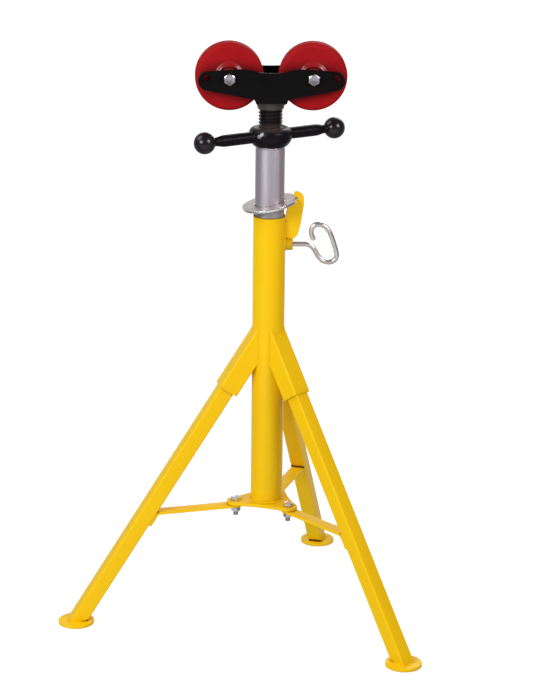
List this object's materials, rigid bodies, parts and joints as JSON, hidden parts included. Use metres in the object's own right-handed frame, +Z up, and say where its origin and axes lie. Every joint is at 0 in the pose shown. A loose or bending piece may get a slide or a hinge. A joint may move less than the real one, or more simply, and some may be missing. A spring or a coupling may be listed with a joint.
{
  "type": "pipe jack stand",
  "caption": "Tripod stand for holding up pipe: a telescoping post with a grip ring and locking pin, a screw jack turned by a ball-ended handle nut, and a roller head.",
  "frame": {"origin": "bottom centre of the bounding box, on the floor; the post's axis stands at x = 52.4 mm, y = -43.3 mm because the three feet reach out unequally", "axes": "+Z up along the post, +X to the right as pictured, towards the locking pin's loop, and +Y away from the viewer"},
  "size_m": [0.6846, 0.6918, 1.107],
  "materials": {
    "yellow_paint": "gloss yellow paint over steel",
    "zinc_plate": "zinc-plated steel tube, softly reflecting",
    "bright_plate": "bright zinc-plated steel",
    "black_paint": "semi-gloss black paint over iron and steel",
    "red_roller": "satin red solid tyre material, smooth",
    "bronze_bush": "dull bearing bronze"
  },
  "bodies": {
    "base": {"outer_tube": "yellow_paint", "pin_boss": "yellow_paint", "lock_bracket": "yellow_paint", "leg_socket_right": "yellow_paint", "leg_tube_right": "yellow_paint", "foot_disc_right": "yellow_paint", "strut_right": "yellow_paint", "strut_bolt_right": "bright_plate", "strut_washer_right": "bright_plate", "strut_nut_right": "bright_plate", "leg_socket_back": "yellow_paint", "leg_tube_back": "yellow_paint", "foot_disc_back": "yellow_paint", "strut_back": "yellow_paint", "strut_bolt_back": "bright_plate", "strut_washer_back": "bright_plate", "strut_nut_back": "bright_plate", "leg_socket_left": "yellow_paint", "leg_tube_left": "yellow_paint", "foot_disc_left": "yellow_paint", "strut_left": "yellow_paint", "strut_bolt_left": "bright_plate", "strut_washer_left": "bright_plate", "strut_nut_left": "bright_plate", "base_plate": "yellow_paint"},
    "locking_pin": {"locking_pin": "bright_plate"},
    "grip_ring": {"grip_ring": "bright_plate"},
    "inner_tube": {"inner_tube": "zinc_plate", "thrust_washer": "bright_plate"},
    "handle_nut": {"handle_nut": "black_paint"},
    "screw_head": {"jack_screw": "black_paint", "screw_stop": "bright_plate", "head_socket": "black_paint", "head_base": "black_paint", "head_web": "black_paint", "side_plate_front": "black_paint", "side_plate_rear": "black_paint", "axle_bolt_left": "bright_plate", "axle_nut_left": "bright_plate", "spacer_left_front": "bright_plate", "spacer_left_rear": "bright_plate", "axle_bolt_right": "bright_plate", "axle_nut_right": "bright_plate", "spacer_right_front": "bright_plate", "spacer_right_rear": "bright_plate"},
    "roller_left": {"roller_left": "red_roller", "roller_bush_left": "bronze_bush"},
    "roller_right": {"roller_right": "red_roller", "roller_bush_right": "bronze_bush"}
  },
  "joints": [
    {"name": "height_slide", "type": "slide", "parent": "base", "child": "inner_tube", "axis": [0, 0, 1], "range_m": [-0.0508, 0.3556]},
    {"name": "nut_turn", "type": "hinge", "parent": "inner_tube", "child": "handle_nut", "pos_m": [0.05244, -0.04327, 0.9332], "axis": [0, 0, 1], "range_deg": [-4320, 1440]},
    {"name": "screw_lift", "type": "slide", "parent": "inner_tube", "child": "screw_head", "axis": [0, 0, 1], "range_m": [-0.02541, 0.07621]},
    {"name": "ring_tilt", "type": "hinge", "parent": "base", "child": "grip_ring", "pos_m": [0.1043, -0.04327, 0.81503], "axis": [0, 1, 0], "range_deg": [0, 10.8]},
    {"name": "pin_slide", "type": "slide", "parent": "base", "child": "locking_pin", "axis": [1, 0, 0], "range_m": [-0.017, 0.06]},
    {"name": "roller_spin_left", "type": "hinge", "parent": "screw_head", "child": "roller_left", "pos_m": [-0.024, -0.04621, 1.0445], "axis": [-0.0384, 0.9993, 0], "continuous": true},
    {"name": "roller_spin_right", "type": "hinge", "parent": "screw_head", "child": "roller_right", "pos_m": [0.12888, -0.04034, 1.0445], "axis": [-0.0384, 0.9993, 0], "continuous": true}
  ],
  "couplings": [
    {"joint": "screw_lift", "follows": "nut_turn", "m_per_rad": -0.0010106}
  ]
}
